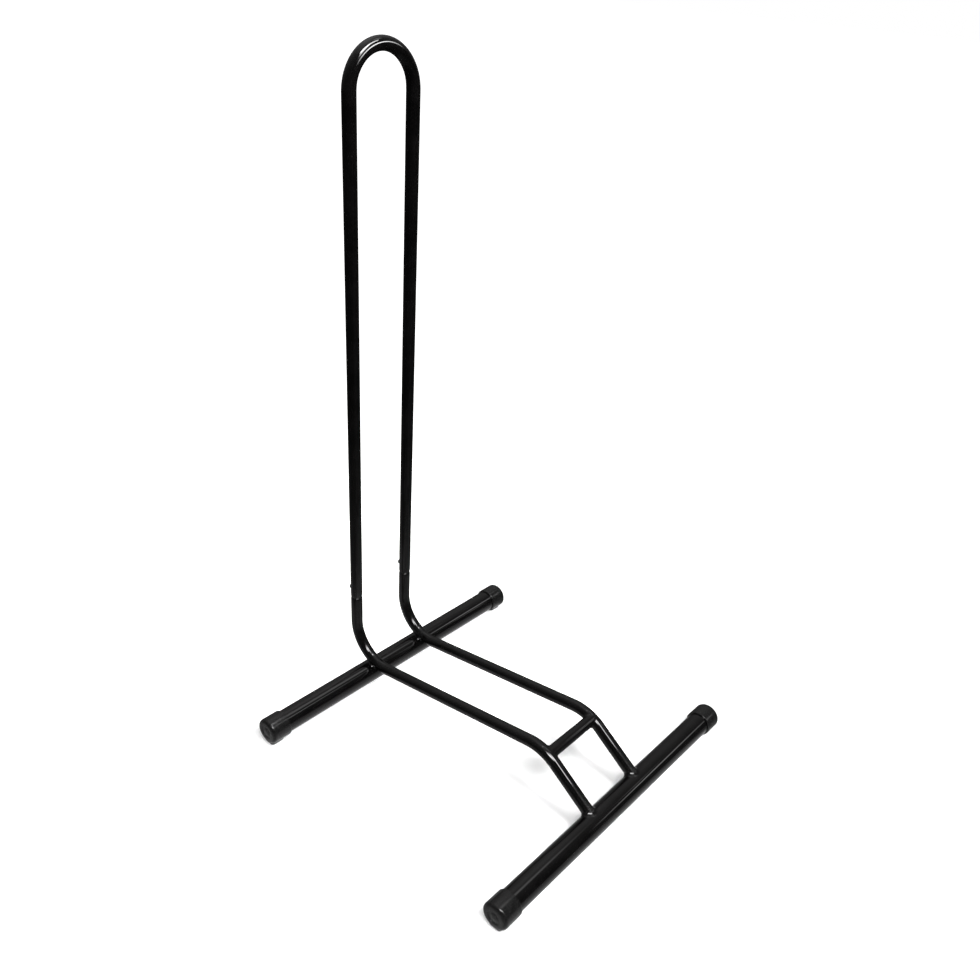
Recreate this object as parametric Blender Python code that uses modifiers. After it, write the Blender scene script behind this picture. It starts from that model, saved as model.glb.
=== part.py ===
"""Bike display stand: a low tubular base on two capped foot tubes, with a lift-off wheel hoop."""

import math

import bmesh
import bpy
from mathutils import Matrix, Vector

MM = 0.001

# Clearances
GAP = 0.3 * MM
SPIGOT_FIT = 0.35 * MM
BUTTON_FIT = 0.35 * MM

# Frame tubes
TUBE_R = 8.0 * MM
TUBE_WALL = 1.2 * MM
BORE_R = TUBE_R - TUBE_WALL
LEG_X = 46.0 * MM

# Foot tubes and end caps
FOOT_R = 15.9 * MM
FOOT_WALL = 1.5 * MM
CAP_R = 18.0 * MM
CAP_LENGTH = 28.0 * MM
CAP_WALL = 3.0 * MM
CAP_EDGE = 4.5 * MM
CAP_MOUTH = 0.8 * MM
CAP_RING_OUT = 9.2 * MM
CAP_RING_IN = 5.0 * MM
CAP_RING_DEPTH = 0.9 * MM
CAP_RING_SLOPE = 0.5 * MM
SPAN = 460.0 * MM
FOOT_SPACING = 402.0 * MM
PAD_DROP = 1.6 * MM
PAD_HALF_WIDTH = 9.0 * MM
PAD_INSET = 2.0 * MM
PAD_LENGTH = 20.0 * MM
PAD_ROOT = 8.0 * MM

# How far a cutter runs past an open end
OVERRUN = 2.0 * MM

# Hoop joint, swaged spigots
JOINT_RISE = 116.2 * MM
SPIGOT_LENGTH = 36.0 * MM
SPIGOT_R = BORE_R - SPIGOT_FIT
SPIGOT_TOP_EDGE = 0.6 * MM
SHOULDER_LENGTH = 3.0 * MM
HOOP_ROLL_LENGTH = 4.0 * MM
HOOP_ROLL_DROP = 1.0 * MM

# Snap buttons
BUTTON_R = 3.3 * MM
BUTTON_RISE = 12.0 * MM
BUTTON_PROUD = 4.4 * MM
BUTTON_CROWN = 1.5 * MM
FLANGE_R = 3.85 * MM
FLANGE_BACK = 2.7 * MM
FLANGE_THICKNESS = 0.6 * MM
STRIP_WIDTH = 5.0 * MM
STRIP_THICKNESS = 0.6 * MM
STRIP_BACK = 2.1 * MM
STRIP_FRONT = -3.9 * MM
STRIP_BACK_RISE = 4.5 * MM
STRIP_FRONT_RISE = 6.0 * MM
STRIP_BACK_KNEE = -5.0 * MM
STRIP_FRONT_KNEE = -3.0 * MM
FOLD_R = 2.0 * MM
FOLD_DROP = 12.4 * MM
FOLD_STEPS = 4

# Side view of the rails: the leg stands behind the rear foot tube's axis, and the front drop
# runs past the front foot tube's axis at a small lead
LEG_SETBACK = 29.0 * MM
REAR_BEND_R = 55.0 * MM
FRONT_BEND_R = 58.0 * MM
RAIL_RISE = math.radians(9.4)
DROP_ANGLE = math.radians(35.0)
DROP_LEAD = 5.2 * MM
DROP_STOP = 6.0 * MM
CROSS_TURN = math.radians(22.0)

# Hoop
ARCH_RISE = 750.0 * MM

# Weld beads
FOOT_BEAD_R = 3.2 * MM
CROSS_BEAD_R = 3.0 * MM
CROSS_BEAD_LEAST = 0.5
SADDLE_BEAD_R = 2.4 * MM
SADDLE_ALONG = 8.7 * MM
SADDLE_ACROSS = 6.2 * MM

# Facets
TUBE_SIDES = 24
FOOT_SIDES = 36
BUTTON_SIDES = 16
BEAD_SIDES = 8
BEAD_STEPS = 24
REAR_BEND_STEPS = 14
FRONT_BEND_STEPS = 8
ARCH_STEPS = 24

# Places that follow from the sizes above
FOOT_Z = CAP_R + PAD_DROP
REAR_Y = 0.5 * (FOOT_SPACING + CAP_R - LEG_SETBACK - TUBE_R - BUTTON_PROUD)
FRONT_Y = REAR_Y - FOOT_SPACING
LEG_Y = REAR_Y + LEG_SETBACK
JOINT_Z = FOOT_Z + JOINT_RISE
ARCH_Z = FOOT_Z + ARCH_RISE
BUTTON_Z = JOINT_Z + BUTTON_RISE
BEND_Y = LEG_Y - REAR_BEND_R
BEND_REACH = REAR_BEND_R + TUBE_R + FOOT_R + GAP
BEND_Z = FOOT_Z + math.sqrt(BEND_REACH ** 2 - (REAR_Y - BEND_Y) ** 2)
CAP_BORE_R = FOOT_R + GAP

PAINT = (0.012, 0.012, 0.013)
PLASTIC = (0.02, 0.02, 0.021)
STEEL = (0.55, 0.55, 0.56)

for old in list(bpy.data.objects):
    bpy.data.objects.remove(old, do_unlink=True)

PARTS = bpy.data.collections.new("bike_display_stand")
bpy.context.scene.collection.children.link(PARTS)
CUTTERS = bpy.data.collections.new("cutters")
bpy.context.scene.collection.children.link(CUTTERS)


def material(name, colour, metallic, roughness):
    made = bpy.data.materials.new(name)
    made.use_nodes = True
    shader = made.node_tree.nodes["Principled BSDF"]
    shader.inputs["Base Color"].default_value = (*colour, 1.0)
    shader.inputs["Metallic"].default_value = metallic
    shader.inputs["Roughness"].default_value = roughness
    made.diffuse_color = (*colour, 1.0)
    return made


def place(name, mesh, collection):
    thing = bpy.data.objects.new(name, mesh)
    collection.objects.link(thing)
    if collection is CUTTERS:
        thing.hide_render = True
        thing.display_type = "WIRE"
    return thing


def cleaned(mesh):
    work = bmesh.new()
    work.from_mesh(mesh)
    bmesh.ops.remove_doubles(work, verts=work.verts, dist=1e-6)
    bmesh.ops.recalc_face_normals(work, faces=work.faces)
    for face in work.faces:
        face.smooth = True
    work.to_mesh(mesh)
    work.free()
    mesh.set_sharp_from_angle(angle=math.radians(40.0))
    return mesh


def evaluated(thing):
    bpy.context.view_layer.update()
    graph = bpy.context.evaluated_depsgraph_get()
    mesh = bpy.data.meshes.new_from_object(thing.evaluated_get(graph))
    mesh.transform(thing.matrix_world)
    return mesh


def pipe(name, points, radii, sides, collection, cyclic=False):
    """A solid round bar that follows the points, with a radius at each point."""
    data = bpy.data.curves.new(name + "_line", "CURVE")
    data.dimensions = "3D"
    data.bevel_depth = radii[0]
    data.bevel_resolution = (sides - 4) // 2
    data.use_fill_caps = not cyclic
    line = data.splines.new("POLY")
    line.points.add(len(points) - 1)
    for knot, place_at, radius in zip(line.points, points, radii):
        knot.co = (*place_at, 1.0)
        knot.radius = radius / radii[0]
    line.use_cyclic_u = cyclic
    curve = place(name + "_line", data, collection)
    mesh = cleaned(evaluated(curve))
    bpy.data.objects.remove(curve, do_unlink=True)
    mesh.name = name
    return place(name, mesh, collection)


def rod(name, centre, axis, radius, length, sides, collection):
    """A plain cylinder with a corner on the world's vertical and horizontal axes."""
    work = bmesh.new()
    bmesh.ops.create_cone(
        work,
        cap_ends=True,
        segments=sides,
        radius1=radius,
        radius2=radius,
        depth=length,
    )
    turn = {
        "X": Matrix.Rotation(math.pi / 2, 4, "Y"),
        "Y": Matrix.Rotation(math.pi / 2, 4, "X"),
        "Z": Matrix.Identity(4),
    }
    work.transform(Matrix.Translation(centre) @ turn[axis])
    mesh = bpy.data.meshes.new(name)
    work.to_mesh(mesh)
    work.free()
    return place(name, cleaned(mesh), collection)


def block(name, low, high, collection):
    work = bmesh.new()
    bmesh.ops.create_cube(work, size=1.0)
    low = Vector(low)
    high = Vector(high)
    size = high - low
    work.transform(Matrix.Translation((low + high) / 2) @ Matrix.Diagonal((*size, 1.0)))
    mesh = bpy.data.meshes.new(name)
    work.to_mesh(mesh)
    work.free()
    return place(name, mesh, collection)


def cut(thing, cutter, operation="DIFFERENCE"):
    step = thing.modifiers.new(operation.lower() + "_" + cutter.name, "BOOLEAN")
    step.operation = operation
    step.solver = "EXACT"
    step.object = cutter


def turned(name, profile, sides, collection):
    """A solid of revolution round Z from a profile of (radius, height), top to bottom."""
    mesh = bpy.data.meshes.new(name + "_profile")
    mesh.from_pydata(
        [(radius, 0.0, height) for radius, height in profile],
        [(i, i + 1) for i in range(len(profile) - 1)],
        [],
    )
    outline = place(name + "_profile", mesh, collection)
    spin = outline.modifiers.new("turn", "SCREW")
    spin.axis = "Z"
    spin.angle = 2.0 * math.pi
    spin.steps = sides
    spin.render_steps = sides
    spin.use_merge_vertices = True
    spin.merge_threshold = 1e-5
    solid = cleaned(evaluated(outline))
    bpy.data.objects.remove(outline, do_unlink=True)
    solid.name = name
    return place(name, solid, collection)


def move_origin(thing, origin):
    """Puts the object's origin on a point without moving its shape."""
    thing.data.transform(Matrix.Translation(-Vector(origin)))
    thing.location = origin


def rail_line():
    """Side view of a rail's centre line as (y, z), from the joint down to the front foot."""
    line = [(LEG_Y, JOINT_Z - GAP), (LEG_Y, JOINT_Z - GAP - SHOULDER_LENGTH)]
    sweep = math.pi / 2 + RAIL_RISE
    for step in range(REAR_BEND_STEPS + 1):
        angle = sweep * step / REAR_BEND_STEPS
        line.append((BEND_Y + REAR_BEND_R * math.cos(angle), BEND_Z - REAR_BEND_R * math.sin(angle)))
    start_y, start_z = line[-1]
    lead_y = FRONT_Y - DROP_LEAD * math.sin(DROP_ANGLE)
    lead_z = FOOT_Z + DROP_LEAD * math.cos(DROP_ANGLE)
    fall = start_z - lead_z + start_y * math.tan(RAIL_RISE) + lead_y * math.tan(DROP_ANGLE)
    corner_y = fall / (math.tan(RAIL_RISE) + math.tan(DROP_ANGLE))
    corner_z = start_z + (start_y - corner_y) * math.tan(RAIL_RISE)
    half = 0.5 * (RAIL_RISE + DROP_ANGLE)
    tangent = FRONT_BEND_R * math.tan(half)
    first_y = corner_y + tangent * math.cos(RAIL_RISE)
    first_z = corner_z - tangent * math.sin(RAIL_RISE)
    centre_y = first_y - FRONT_BEND_R * math.sin(RAIL_RISE)
    centre_z = first_z - FRONT_BEND_R * math.cos(RAIL_RISE)
    for step in range(FRONT_BEND_STEPS + 1):
        angle = math.pi / 2 - RAIL_RISE + (RAIL_RISE + DROP_ANGLE) * step / FRONT_BEND_STEPS
        line.append((centre_y + FRONT_BEND_R * math.cos(angle), centre_z + FRONT_BEND_R * math.sin(angle)))
    last_y, last_z = line[-1]
    ahead = (last_y - FRONT_Y) * math.cos(DROP_ANGLE) + (last_z - FOOT_Z) * math.sin(DROP_ANGLE)
    run = ahead - DROP_STOP
    line.append((last_y - run * math.cos(DROP_ANGLE), last_z - run * math.sin(DROP_ANGLE)))
    return line, (centre_y, centre_z)


RAIL_LINE, FRONT_BEND = rail_line()
CROSS_Y = FRONT_BEND[0] - FRONT_BEND_R * math.sin(CROSS_TURN)
CROSS_Z = FRONT_BEND[1] + FRONT_BEND_R * math.cos(CROSS_TURN)


def rail_solid(name, side, radius):
    points = [(side * LEG_X, y, z) for y, z in RAIL_LINE]
    return pipe(name, points, [radius] * len(points), TUBE_SIDES, CUTTERS)


def rail(name, side):
    x = side * LEG_X
    top = JOINT_Z + SPIGOT_LENGTH
    points = [(x, LEG_Y, top), (x, LEG_Y, top - SPIGOT_TOP_EDGE)]
    points += [(x, y, z) for y, z in RAIL_LINE]
    radii = [SPIGOT_R - SPIGOT_TOP_EDGE, SPIGOT_R, SPIGOT_R] + [TUBE_R] * (len(RAIL_LINE) - 1)
    body = pipe(name, points, radii, TUBE_SIDES, PARTS)
    hollow = [(x, LEG_Y, top + OVERRUN)] + points[2:]
    inner = [SPIGOT_R - TUBE_WALL] * 2 + [BORE_R] * (len(RAIL_LINE) - 1)
    bore = pipe(name + "_bore", hollow, inner, TUBE_SIDES, CUTTERS)
    cut(body, bore)
    cut(body, FRONT_COPE)
    cut(body, button_hole(name + "_hole", side))
    return body


def button_hole(name, side):
    reach = TUBE_R + OVERRUN
    centre = (side * LEG_X, LEG_Y + reach / 2, BUTTON_Z)
    return rod(name, centre, "Y", BUTTON_R + BUTTON_FIT, reach, BUTTON_SIDES, CUTTERS)


def hoop(name):
    base = JOINT_Z
    leg = [(-LEG_X, LEG_Y, base + share * HOOP_ROLL_LENGTH) for share in (0.0, 0.35, 1.0)]
    arch = []
    for step in range(ARCH_STEPS + 1):
        angle = math.pi * (1.0 - step / ARCH_STEPS)
        arch.append((LEG_X * math.cos(angle), LEG_Y, ARCH_Z + LEG_X * math.sin(angle)))
    points = leg + arch + [(-x, y, z) for x, y, z in reversed(leg)]
    end = [TUBE_R - HOOP_ROLL_DROP, TUBE_R - 0.35 * HOOP_ROLL_DROP, TUBE_R]
    radii = end + [TUBE_R] * len(arch) + end[::-1]
    body = pipe(name, points, radii, TUBE_SIDES, PARTS)
    below = base - OVERRUN
    hollow = [(-LEG_X, LEG_Y, below)] + arch + [(LEG_X, LEG_Y, below)]
    cut(body, pipe(name + "_bore", hollow, [BORE_R] * len(hollow), TUBE_SIDES, CUTTERS))
    cut(body, button_hole(name + "_left_hole", -1))
    cut(body, button_hole(name + "_right_hole", 1))
    return body


def foot_tube(name, y):
    length = SPAN - 2.0 * (CAP_WALL + GAP)
    body = rod(name, (0.0, y, FOOT_Z), "X", FOOT_R, length, FOOT_SIDES, PARTS)
    cut(body, rod(name + "_bore", (0.0, y, FOOT_Z), "X", FOOT_R - FOOT_WALL, SPAN, FOOT_SIDES, CUTTERS))
    return body


def cap(name, side, y):
    """A push-on end cap: rounded end with a ring groove, open sleeve and a flat sole."""
    edge = []
    for step in range(5):
        angle = math.radians(90.0 - 22.5 * step)
        edge.append(
            (CAP_R - CAP_EDGE + CAP_EDGE * math.cos(angle), CAP_EDGE * math.sin(angle) - CAP_EDGE)
        )
    profile = [
        (0.0, 0.0),
        (CAP_RING_IN - CAP_RING_SLOPE, 0.0),
        (CAP_RING_IN, -CAP_RING_DEPTH),
        (CAP_RING_OUT, -CAP_RING_DEPTH),
        (CAP_RING_OUT + CAP_RING_SLOPE, 0.0),
    ]
    profile += edge
    profile += [
        (CAP_R, CAP_MOUTH - CAP_LENGTH),
        (CAP_R - CAP_MOUTH, -CAP_LENGTH),
        (0.0, -CAP_LENGTH),
    ]
    body = turned(name, profile, FOOT_SIDES, PARTS)
    outward = Matrix.Rotation(side * math.pi / 2, 4, "Y")
    body.data.transform(Matrix.Translation((side * SPAN / 2, y, FOOT_Z)) @ outward)
    outer = SPAN / 2 - PAD_INSET
    ends = sorted((side * outer, side * (outer - PAD_LENGTH)))
    low = (ends[0], y - PAD_HALF_WIDTH, 0.0)
    high = (ends[1], y + PAD_HALF_WIDTH, PAD_ROOT)
    cut(body, block(name + "_pad", low, high, CUTTERS), "UNION")
    depth = CAP_LENGTH - CAP_WALL + OVERRUN
    middle = side * (SPAN / 2 - CAP_WALL - depth / 2)
    cut(body, rod(name + "_bore", (middle, y, FOOT_Z), "X", CAP_BORE_R, depth, FOOT_SIDES, CUTTERS))
    return body


def cross_tube(name):
    body = rod(name, (0.0, CROSS_Y, CROSS_Z), "X", TUBE_R, 2.0 * LEG_X, TUBE_SIDES, PARTS)
    length = 2.0 * (LEG_X + OVERRUN)
    cut(body, rod(name + "_bore", (0.0, CROSS_Y, CROSS_Z), "X", BORE_R, length, TUBE_SIDES, CUTTERS))
    cut(body, LEFT_RAIL_SOLID)
    cut(body, RIGHT_RAIL_SOLID)
    return body


def foot_bead(name, side):
    """The weld where a rail's front end meets the front foot tube."""
    end_y, end_z = RAIL_LINE[-1]
    along = Vector((0.0, -math.cos(DROP_ANGLE), -math.sin(DROP_ANGLE)))
    across = Vector((1.0, 0.0, 0.0))
    upward = Vector((0.0, -math.sin(DROP_ANGLE), math.cos(DROP_ANGLE)))
    foot = Vector((0.0, FRONT_Y, FOOT_Z))
    points = []
    for step in range(BEAD_STEPS):
        angle = 2.0 * math.pi * step / BEAD_STEPS
        start = Vector((side * LEG_X, end_y, end_z))
        start += TUBE_R * (math.cos(angle) * across + math.sin(angle) * upward)
        offset = Vector((0.0, start.y - foot.y, start.z - foot.z))
        half = offset.dot(along)
        reach = -half - math.sqrt(half * half - offset.length_squared + FOOT_R ** 2)
        points.append(start + reach * along)
    body = pipe(name, points, [FOOT_BEAD_R] * BEAD_STEPS, BEAD_SIDES, PARTS, cyclic=True)
    cut(body, LEFT_RAIL_SOLID if side < 0 else RIGHT_RAIL_SOLID)
    cut(body, FRONT_COPE)
    return body


def distance_to_rail(y, z):
    best = None
    for (y0, z0), (y1, z1) in zip(RAIL_LINE, RAIL_LINE[1:]):
        run_y = y1 - y0
        run_z = z1 - z0
        share = ((y - y0) * run_y + (z - z0) * run_z) / (run_y ** 2 + run_z ** 2)
        share = min(1.0, max(0.0, share))
        far = math.hypot(y - y0 - share * run_y, z - z0 - share * run_z)
        best = far if best is None else min(best, far)
    return best


def cross_bead(name, side):
    """The weld where the cross tube meets a rail."""
    points = []
    radii = []
    for step in range(BEAD_STEPS):
        angle = 2.0 * math.pi * step / BEAD_STEPS + CROSS_TURN
        y = CROSS_Y + TUBE_R * math.cos(angle)
        z = CROSS_Z + TUBE_R * math.sin(angle)
        far = min(distance_to_rail(y, z), TUBE_R)
        depth = math.sqrt(TUBE_R ** 2 - far ** 2)
        points.append((side * (LEG_X - depth), y, z))
        radii.append(CROSS_BEAD_R * (CROSS_BEAD_LEAST + (1.0 - CROSS_BEAD_LEAST) * depth / TUBE_R))
    body = pipe(name, points, radii, BEAD_SIDES, PARTS, cyclic=True)
    cut(body, LEFT_RAIL_SOLID if side < 0 else RIGHT_RAIL_SOLID)
    cut(body, CROSS_SOLID)
    return body


def saddle_bead(name, side):
    """The weld round the patch where a rail's rear bend lies on the rear foot tube."""
    down = Vector((0.0, REAR_Y - BEND_Y, FOOT_Z - BEND_Z)).normalized()
    along = Vector((0.0, down.z, -down.y))
    across = Vector((1.0, 0.0, 0.0))
    touch = Vector((side * LEG_X, BEND_Y, BEND_Z)) + (REAR_BEND_R + TUBE_R + GAP / 2) * down
    points = []
    for step in range(BEAD_STEPS):
        angle = 2.0 * math.pi * step / BEAD_STEPS
        run = SADDLE_ALONG * math.cos(angle)
        side_run = SADDLE_ACROSS * math.sin(angle)
        foot_fall = FOOT_R - math.sqrt(FOOT_R ** 2 - run ** 2)
        rail_rise = run ** 2 / (2.0 * (REAR_BEND_R + TUBE_R)) + TUBE_R - math.sqrt(TUBE_R ** 2 - side_run ** 2)
        points.append(touch + run * along + side_run * across + 0.5 * (foot_fall - rail_rise) * down)
    body = pipe(name, points, [SADDLE_BEAD_R] * BEAD_STEPS, BEAD_SIDES, PARTS, cyclic=True)
    cut(body, LEFT_RAIL_SOLID if side < 0 else RIGHT_RAIL_SOLID)
    cut(body, REAR_SOLID)
    return body


def button(name, side):
    """A snap button: flange inside the spigot, plain body and a crowned head."""
    proud = TUBE_R + BUTTON_PROUD
    flange_top = FLANGE_BACK + FLANGE_THICKNESS
    profile = [(0.0, proud)]
    for step in range(1, 5):
        angle = math.radians(22.5 * step)
        profile.append((BUTTON_R * math.sin(angle), proud - BUTTON_CROWN * (1.0 - math.cos(angle))))
    profile += [
        (BUTTON_R, flange_top),
        (FLANGE_R, flange_top),
        (FLANGE_R, FLANGE_BACK),
        (0.0, FLANGE_BACK),
    ]
    body = turned(name, profile, BUTTON_SIDES, PARTS)
    body.data.transform(Matrix.Rotation(-math.pi / 2, 4, "X"))
    body.location = (side * LEG_X, LEG_Y, BUTTON_Z)
    return body


def spring(name, side):
    """The folded steel strip that pushes a snap button outwards."""
    middle = (STRIP_BACK + STRIP_FRONT) / 2
    outline = [(STRIP_BACK, STRIP_BACK_RISE), (STRIP_BACK, STRIP_BACK_KNEE)]
    for step in range(FOLD_STEPS + 1):
        angle = math.pi * step / FOLD_STEPS
        outline.append((middle + FOLD_R * math.cos(angle), -FOLD_DROP - FOLD_R * math.sin(angle)))
    outline += [(STRIP_FRONT, STRIP_FRONT_KNEE), (STRIP_FRONT, STRIP_FRONT_RISE)]
    half = STRIP_WIDTH / 2
    corners = []
    for y, z in outline:
        corners.append((side * LEG_X - half, LEG_Y + y, BUTTON_Z + z))
        corners.append((side * LEG_X + half, LEG_Y + y, BUTTON_Z + z))
    faces = [(2 * i, 2 * i + 1, 2 * i + 3, 2 * i + 2) for i in range(len(outline) - 1)]
    mesh = bpy.data.meshes.new(name)
    mesh.from_pydata(corners, [], faces)
    body = place(name, mesh, PARTS)
    thick = body.modifiers.new("sheet", "SOLIDIFY")
    thick.thickness = STRIP_THICKNESS
    thick.offset = 0.0
    thick.use_even_offset = True
    return body


LEFT_RAIL_SOLID = rail_solid("left_rail_solid", -1, TUBE_R + GAP)
RIGHT_RAIL_SOLID = rail_solid("right_rail_solid", 1, TUBE_R + GAP)
FRONT_COPE = rod("front_cope", (0.0, FRONT_Y, FOOT_Z), "X", FOOT_R + GAP, SPAN, FOOT_SIDES, CUTTERS)
REAR_SOLID = rod("rear_solid", (0.0, REAR_Y, FOOT_Z), "X", FOOT_R + GAP, SPAN, FOOT_SIDES, CUTTERS)
CROSS_SOLID = rod(
    "cross_solid", (0.0, CROSS_Y, CROSS_Z), "X", TUBE_R + GAP, 2.0 * LEG_X, TUBE_SIDES, CUTTERS
)

made = {
    "left_rail": (rail("left_rail", -1), PAINT, 0.0, 0.12),
    "right_rail": (rail("right_rail", 1), PAINT, 0.0, 0.12),
    "front_cross_tube": (cross_tube("front_cross_tube"), PAINT, 0.0, 0.12),
    "rear_foot_tube": (foot_tube("rear_foot_tube", REAR_Y), PAINT, 0.0, 0.12),
    "front_foot_tube": (foot_tube("front_foot_tube", FRONT_Y), PAINT, 0.0, 0.12),
    "rear_left_cap": (cap("rear_left_cap", -1, REAR_Y), PLASTIC, 0.0, 0.3),
    "rear_right_cap": (cap("rear_right_cap", 1, REAR_Y), PLASTIC, 0.0, 0.3),
    "front_left_cap": (cap("front_left_cap", -1, FRONT_Y), PLASTIC, 0.0, 0.3),
    "front_right_cap": (cap("front_right_cap", 1, FRONT_Y), PLASTIC, 0.0, 0.3),
    "left_rear_weld": (saddle_bead("left_rear_weld", -1), PAINT, 0.0, 0.12),
    "right_rear_weld": (saddle_bead("right_rear_weld", 1), PAINT, 0.0, 0.12),
    "left_front_weld": (foot_bead("left_front_weld", -1), PAINT, 0.0, 0.12),
    "right_front_weld": (foot_bead("right_front_weld", 1), PAINT, 0.0, 0.12),
    "left_cross_weld": (cross_bead("left_cross_weld", -1), PAINT, 0.0, 0.12),
    "right_cross_weld": (cross_bead("right_cross_weld", 1), PAINT, 0.0, 0.12),
    "hoop": (hoop("hoop"), PAINT, 0.0, 0.12),
    "left_button": (button("left_button", -1), PAINT, 0.0, 0.2),
    "right_button": (button("right_button", 1), PAINT, 0.0, 0.2),
    "left_spring": (spring("left_spring", -1), STEEL, 1.0, 0.3),
    "right_spring": (spring("right_spring", 1), STEEL, 1.0, 0.3),
}

move_origin(made["hoop"][0], (0.0, LEG_Y, JOINT_Z))
for node, (body, colour, metallic, roughness) in made.items():
    body.data.materials.clear()
    body.data.materials.append(material(node + "_finish", colour, metallic, roughness))
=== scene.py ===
"""Bike display stand: painted tubes, welds, end caps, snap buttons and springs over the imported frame."""

import math

import bmesh
import bpy
from mathutils import Matrix, Quaternion, Vector


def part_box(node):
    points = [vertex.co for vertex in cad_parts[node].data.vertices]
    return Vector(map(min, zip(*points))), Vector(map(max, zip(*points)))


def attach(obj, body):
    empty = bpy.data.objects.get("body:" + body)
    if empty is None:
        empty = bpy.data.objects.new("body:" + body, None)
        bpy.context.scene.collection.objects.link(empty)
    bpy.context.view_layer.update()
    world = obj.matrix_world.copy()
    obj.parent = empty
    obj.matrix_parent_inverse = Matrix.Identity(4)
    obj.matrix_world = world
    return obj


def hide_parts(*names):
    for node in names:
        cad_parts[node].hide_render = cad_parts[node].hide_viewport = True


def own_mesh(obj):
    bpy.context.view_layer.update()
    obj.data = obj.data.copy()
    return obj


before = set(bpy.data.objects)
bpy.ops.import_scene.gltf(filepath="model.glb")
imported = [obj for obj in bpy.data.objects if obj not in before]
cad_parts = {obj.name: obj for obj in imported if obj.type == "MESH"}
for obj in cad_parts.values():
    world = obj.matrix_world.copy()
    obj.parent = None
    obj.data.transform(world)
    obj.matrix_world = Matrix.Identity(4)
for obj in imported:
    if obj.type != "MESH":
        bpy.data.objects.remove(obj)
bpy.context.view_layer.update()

MM = 0.001
ACROSS = Vector((1.0, 0.0, 0.0))
DEEP = Vector((0.0, 1.0, 0.0))
UP = Vector((0.0, 0.0, 1.0))


def box(node):
    low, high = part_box(node)
    return Vector(low), Vector(high)


# Sizes read from the frame
REAR_LOW, REAR_HIGH = box("rear_foot_tube")
FRONT_LOW, FRONT_HIGH = box("front_foot_tube")
HOOP_LOW, HOOP_HIGH = box("hoop")
CAP_LOW, CAP_HIGH = box("rear_right_cap")
BUTTON_LOW, BUTTON_HIGH = box("right_button")
SPRING_LOW, SPRING_HIGH = box("right_spring")
FOOT_R = 0.5 * (REAR_HIGH.z - REAR_LOW.z)
FOOT_Z = 0.5 * (REAR_HIGH.z + REAR_LOW.z)
FOOT_HALF = REAR_HIGH.x
REAR_Y = 0.5 * (REAR_HIGH.y + REAR_LOW.y)
FRONT_Y = 0.5 * (FRONT_HIGH.y + FRONT_LOW.y)
TUBE_R = 0.5 * (HOOP_HIGH.y - HOOP_LOW.y)
LEG_X = HOOP_HIGH.x - TUBE_R
LEG_Y = 0.5 * (HOOP_HIGH.y + HOOP_LOW.y)
JOINT_Z = HOOP_LOW.z
ARCH_Z = HOOP_HIGH.z - TUBE_R - LEG_X
SPIGOT_TOP = box("right_rail")[1].z
CAP_END = CAP_HIGH.x
CAP_LENGTH = CAP_HIGH.x - CAP_LOW.x
CAP_R = 0.5 * (CAP_HIGH.y - CAP_LOW.y)
BUTTON_Z = 0.5 * (BUTTON_HIGH.z + BUTTON_LOW.z)
BUTTON_TIP = BUTTON_HIGH.y - LEG_Y
BUTTON_FOOT = BUTTON_LOW.y - LEG_Y

# Tube sizes that the frame's boxes don't show
TUBE_WALL = 1.2 * MM
BORE_R = TUBE_R - TUBE_WALL
FOOT_WALL = 1.5 * MM
FOOT_EDGE = 0.4 * MM
SPIGOT_R = BORE_R - 0.35 * MM
SPIGOT_EDGE = 0.6 * MM
SHOULDER_LENGTH = 3.0 * MM
SHOULDER_CURVE = 0.8
JOINT_GAP = 0.3 * MM
HOOP_ROLL_LENGTH = 4.0 * MM
HOOP_ROLL_DROP = 1.0 * MM
HOOP_ROLL_CURVE = 2.2
ARCH_FLATTENING = 0.5 * MM
ARCH_SPREAD = 0.2 * MM
ARCH_PRESS_ONSET = 2.4
REAR_BEND_R = 55.0 * MM
FRONT_BEND_R = 58.0 * MM
RAIL_RISE = math.radians(9.4)
DROP_ANGLE = math.radians(35.0)
DROP_LEAD = 5.2 * MM
CROSS_TURN = math.radians(22.0)
CONTACT_GAP = 0.3 * MM
SEAT = 0.15 * MM

# Weld sizes: the fillets' legs and hollow, how deep their feet sink, and how unevenly the bead lies
FOOT_WELD_LEG = 4.2 * MM
CROSS_WELD_LEG = 4.0 * MM
CROSS_WELD_LEAST = 0.45
CROSS_WELD_LEAN = 0.4
SADDLE_ALONG = 9.6 * MM
SADDLE_ACROSS = 6.6 * MM
WELD_SINK = 0.05 * MM
WELD_HOLLOW = 0.62
WELD_ROOT = 0.4
LEG_UNEVENNESS = 0.08
SADDLE_UNEVENNESS = 0.05
BEADS_PER_TURN = 34
BEAD_HEIGHT = 0.09 * MM
PUDDLE_SHIFT = 1.5

# The bead's ripples: waves in a turn, size, and shift for a seed of one
RIPPLES = ((3.0, 0.5, 1.0), (7.0, 0.3, 2.1), (17.0, 0.2, 3.7))

# Button and spring sizes
BUTTON_R = 3.3 * MM
BUTTON_FIT = 0.3 * MM
BUTTON_CROWN = 1.7 * MM
FLANGE_R = 3.85 * MM
FLANGE_THICKNESS = 0.6 * MM
STRIP_WIDTH = SPRING_HIGH.x - SPRING_LOW.x
STRIP_THICKNESS = 0.6 * MM
STRIP_SOFT = 0.15 * MM
FOLD_R = 2.0 * MM

# Heights from the button's axis, on the strip's back and front
STRIP_KNEES = (-5.0 * MM, -3.0 * MM)
STRIP_TOPS = (4.5 * MM, 6.0 * MM)

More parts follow.
